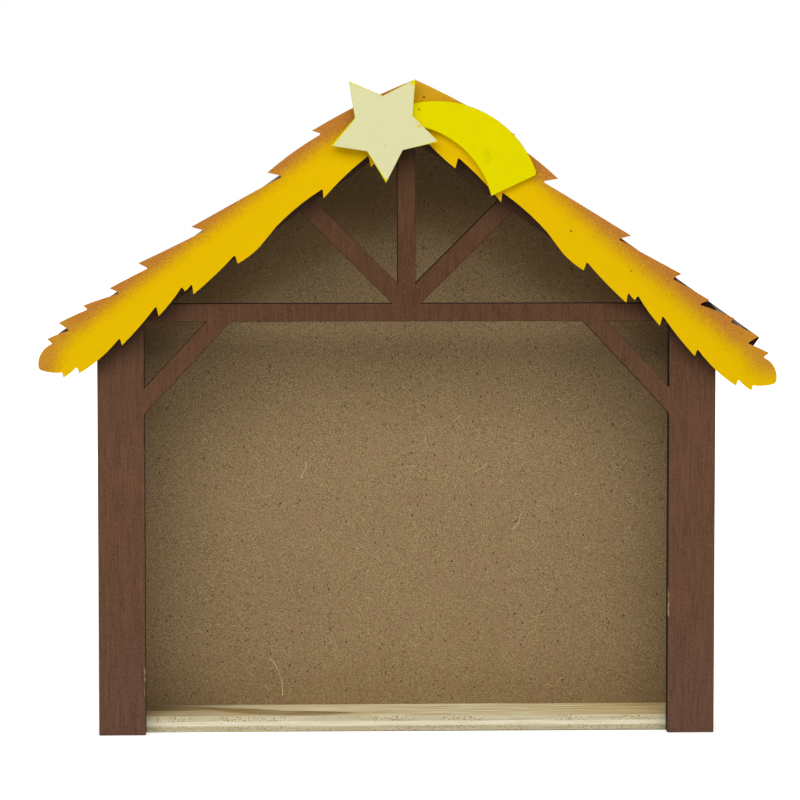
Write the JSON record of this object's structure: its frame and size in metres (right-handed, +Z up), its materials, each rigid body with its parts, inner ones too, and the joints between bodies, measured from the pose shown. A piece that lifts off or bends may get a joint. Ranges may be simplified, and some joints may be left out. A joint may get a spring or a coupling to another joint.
{
  "type": "nativity stable",
  "caption": "Shallow open-fronted wooden stable for crib figures: cut-out timber frame, pitched roof edged with toothed straw fascia, comet star at the ridge.",
  "frame": {"origin": "on the table, midway between the posts and midway between the star's face and the rear of the back panel", "axes": "+X to the viewer's right along the front, +Y from the front to the back, +Z up"},
  "size_m": [0.3686, 0.0636, 0.3289],
  "materials": {
    "brown_paint": "matte brown paint on plywood, grain showing",
    "raw_plywood": "raw sanded plywood, plies at the edge",
    "roof_paint": "dark brown matte paint on plywood",
    "hardboard": "raw brown hardboard with fibre flecks",
    "straw_paint": "matte yellow paint with an orange-brown sprayed upper edge",
    "lemon_paint": "matte lemon yellow paint",
    "cream_paint": "matte cream paint on the face, yellow edges",
    "brad_steel": "bright drawn wire"
  },
  "bodies": {
    "root": {"front_frame": "brown_paint", "floor_board": "raw_plywood", "left_side_wall": "brown_paint", "right_side_wall": "brown_paint", "left_roof_panel": "roof_paint", "right_roof_panel": "roof_paint", "back_panel": "hardboard", "straw_fascia": "straw_paint", "comet_tail": "lemon_paint", "star": "cream_paint", "side_wall_brads": "brad_steel", "roof_brads": "brad_steel", "back_panel_brads": "brad_steel"}
  },
  "joints": []
}
